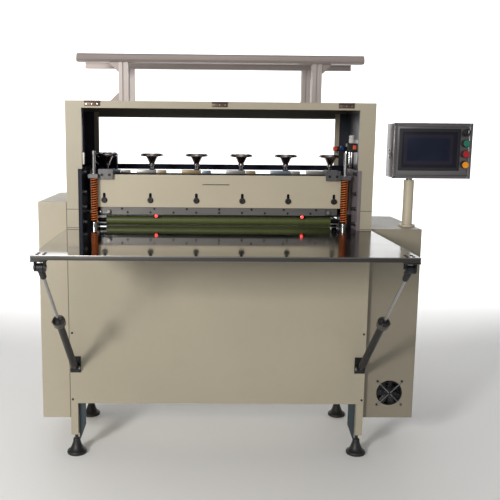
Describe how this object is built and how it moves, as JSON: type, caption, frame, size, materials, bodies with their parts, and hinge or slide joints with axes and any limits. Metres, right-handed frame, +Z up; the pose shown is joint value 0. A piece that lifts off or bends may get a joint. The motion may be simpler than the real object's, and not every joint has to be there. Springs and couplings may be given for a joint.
{
  "type": "die cutting machine",
  "caption": "Floor-standing wide sheet die cutting machine with a sprung cutting head under handwheels, feed rollers, tilting delivery table on struts, swivelling operator panel and top rack.",
  "frame": {"origin": "on the floor, at the middle of the machine's footprint", "axes": "+X to the operator's right, +Y from the delivery side to the feed side, +Z up"},
  "size_m": [1.817, 1.2104, 1.72],
  "materials": {
    "cream_paint": "semi-gloss powder coat, slightly textured",
    "dark_steel": "blackened and dark painted steel",
    "ground_steel": "ground and milled steel",
    "polished_steel": "polished stainless steel",
    "chrome": "bright chrome plating",
    "aluminium": "satin anodised aluminium",
    "green_rubber": "olive green polyurethane cover",
    "spring_orange": "orange enamelled spring wire",
    "black_plastic": "black moulded plastic",
    "screen": "dark glass behind a grey bezel",
    "green_plastic": "green button cap",
    "red_plastic": "red button cap",
    "yellow_plastic": "amber button cap"
  },
  "bodies": {
    "frame": {"legs": "cream_paint", "levelling_feet": "dark_steel", "base_plate": "cream_paint", "front_panel": "cream_paint", "body_panels": "cream_paint", "bed_beam": "dark_steel", "bed_top": "polished_steel", "bed_knife": "ground_steel", "cheeks": "ground_steel", "cheek_bolts": "dark_steel", "columns": "cream_paint", "portal_beam": "cream_paint", "guard_hinges": "dark_steel", "rear_tie_bar": "dark_steel", "rack_posts": "aluminium", "rack_rails": "aluminium", "rack_gussets": "aluminium", "left_cabinet": "cream_paint", "right_cabinet": "cream_paint", "control_gear": "black_plastic", "mast": "cream_paint", "cooling_fan": "black_plastic", "bearing_blocks": "dark_steel", "die_springs": "spring_orange", "pull_cylinders": "ground_steel", "panel_brackets": "dark_steel", "drive_motor": "aluminium", "light_sensors": "black_plastic", "valve_box": "dark_steel", "air_regulator": "aluminium", "air_manifold": "aluminium"},
    "head": {"head_beam": "dark_steel", "head_plate": "cream_paint", "head_bolts": "dark_steel", "knife_strip": "ground_steel", "knife_blade": "ground_steel", "head_brackets": "ground_steel", "nut_blocks": "ground_steel", "pull_rods": "polished_steel"},
    "handwheel_1": {"handwheel_1": "chrome"},
    "handwheel_2": {"handwheel_2": "chrome"},
    "handwheel_3": {"handwheel_3": "chrome"},
    "handwheel_4": {"handwheel_4": "chrome"},
    "handwheel_5": {"handwheel_5": "chrome"},
    "handwheel_6": {"handwheel_6": "chrome"},
    "roller_lower": {"roller_lower": "ground_steel"},
    "roller_upper": {"roller_upper": "green_rubber"},
    "table": {"table_top": "polished_steel"},
    "strut_tube_left": {"strut_tube_left": "dark_steel"},
    "strut_tube_right": {"strut_tube_right": "dark_steel"},
    "strut_rod_left": {"strut_rod_left": "ground_steel"},
    "strut_rod_right": {"strut_rod_right": "ground_steel"},
    "hmi": {"hmi_box": "polished_steel", "hmi_screen": "screen"},
    "selector": {"selector_knob": "black_plastic"},
    "button_green": {"button_green": "green_plastic"},
    "button_red": {"button_red": "red_plastic"},
    "button_yellow": {"button_yellow": "yellow_plastic"},
    "fan_rotor": {"fan_rotor": "black_plastic"},
    "regulator_knob": {"regulator_knob": "black_plastic"},
    "door": {"cabinet_door": "cream_paint"}
  },
  "joints": [
    {"name": "head_slide", "type": "slide", "parent": "frame", "child": "head", "axis": [0, 0, 1], "range_m": [-0.05, 0], "stiffness_N_per_m": 60000, "springref_m": 0.03, "deforming": ["die_springs"]},
    {"name": "handwheel_1_turn", "type": "hinge", "parent": "head", "child": "handwheel_1", "pos_m": [-0.641, 0.2788, 1.219], "axis": [0, 0, 1], "range_deg": [-720, 720]},
    {"name": "handwheel_2_turn", "type": "hinge", "parent": "head", "child": "handwheel_2", "pos_m": [-0.446, 0.2788, 1.219], "axis": [0, 0, 1], "range_deg": [-720, 720]},
    {"name": "handwheel_3_turn", "type": "hinge", "parent": "head", "child": "handwheel_3", "pos_m": [-0.251, 0.2788, 1.219], "axis": [0, 0, 1], "range_deg": [-720, 720]},
    {"name": "handwheel_4_turn", "type": "hinge", "parent": "head", "child": "handwheel_4", "pos_m": [-0.056, 0.2788, 1.219], "axis": [0, 0, 1], "range_deg": [-720, 720]},
    {"name": "handwheel_5_turn", "type": "hinge", "parent": "head", "child": "handwheel_5", "pos_m": [0.139, 0.2788, 1.219], "axis": [0, 0, 1], "range_deg": [-720, 720]},
    {"name": "handwheel_6_turn", "type": "hinge", "parent": "head", "child": "handwheel_6", "pos_m": [0.334, 0.2788, 1.219], "axis": [0, 0, 1], "range_deg": [-720, 720]},
    {"name": "roller_lower_spin", "type": "hinge", "parent": "frame", "child": "roller_lower", "pos_m": [-0.1535, 0.2168, 0.97], "axis": [1, 0, 0], "continuous": true},
    {"name": "roller_upper_spin", "type": "hinge", "parent": "frame", "child": "roller_upper", "pos_m": [-0.1535, 0.2168, 1.0203], "axis": [1, 0, 0], "continuous": true},
    {"name": "table_tilt", "type": "hinge", "parent": "frame", "child": "table", "pos_m": [-0.1535, 0.0528, 0.972], "axis": [1, 0, 0], "range_deg": [0, 12]},
    {"name": "strut_left_swing", "type": "hinge", "parent": "frame", "child": "strut_tube_left", "pos_m": [-0.7595, 0.0468, 0.408], "axis": [1, 0, 0], "range_deg": [0, 7]},
    {"name": "strut_left_slide", "type": "slide", "parent": "strut_tube_left", "child": "strut_rod_left", "axis": [0, -0.7499, 0.6616], "range_m": [-0.095, 0]},
    {"name": "strut_right_swing", "type": "hinge", "parent": "frame", "child": "strut_tube_right", "pos_m": [0.4525, 0.0468, 0.408], "axis": [1, 0, 0], "range_deg": [0, 7]},
    {"name": "strut_right_slide", "type": "slide", "parent": "strut_tube_right", "child": "strut_rod_right", "axis": [0, -0.7499, 0.6616], "range_m": [-0.095, 0]},
    {"name": "hmi_swivel", "type": "hinge", "parent": "frame", "child": "hmi", "pos_m": [0.6665, 0.2118, 1.213], "axis": [0, 0, 1], "range_deg": [-90, 90]},
    {"name": "selector_turn", "type": "hinge", "parent": "hmi", "child": "selector", "pos_m": [0.8825, 0.1518, 1.4065], "axis": [0, 1, 0], "range_deg": [-45, 45]},
    {"name": "button_green_press", "type": "slide", "parent": "hmi", "child": "button_green", "axis": [0, 1, 0], "range_m": [0, 0.004], "stiffness_N_per_m": 600},
    {"name": "button_red_press", "type": "slide", "parent": "hmi", "child": "button_red", "axis": [0, 1, 0], "range_m": [0, 0.004], "stiffness_N_per_m": 600},
    {"name": "button_yellow_press", "type": "slide", "parent": "hmi", "child": "button_yellow", "axis": [0, 1, 0], "range_m": [0, 0.004], "stiffness_N_per_m": 600},
    {"name": "fan_spin", "type": "hinge", "parent": "frame", "child": "fan_rotor", "pos_m": [0.5935, 0.1068, 0.285], "axis": [0, 1, 0], "continuous": true},
    {"name": "regulator_turn", "type": "hinge", "parent": "frame", "child": "regulator_knob", "pos_m": [0.4345, 0.3168, 1.36], "axis": [0, 0, 1], "range_deg": [-360, 360]},
    {"name": "door_swing", "type": "hinge", "parent": "frame", "child": "door", "pos_m": [0.6935, 0.6012, 0.6], "axis": [0, 0, 1], "range_deg": [0, 105]}
  ],
  "couplings": [
    {"joint": "roller_upper_spin", "follows": "roller_lower_spin", "ratio": -1.5},
    {"joint": "strut_left_swing", "follows": "table_tilt", "ratio": 0.5596},
    {"joint": "strut_left_slide", "follows": "table_tilt", "m_per_rad": -0.444},
    {"joint": "strut_right_swing", "follows": "table_tilt", "ratio": 0.5596},
    {"joint": "strut_right_slide", "follows": "table_tilt", "m_per_rad": -0.444}
  ]
}
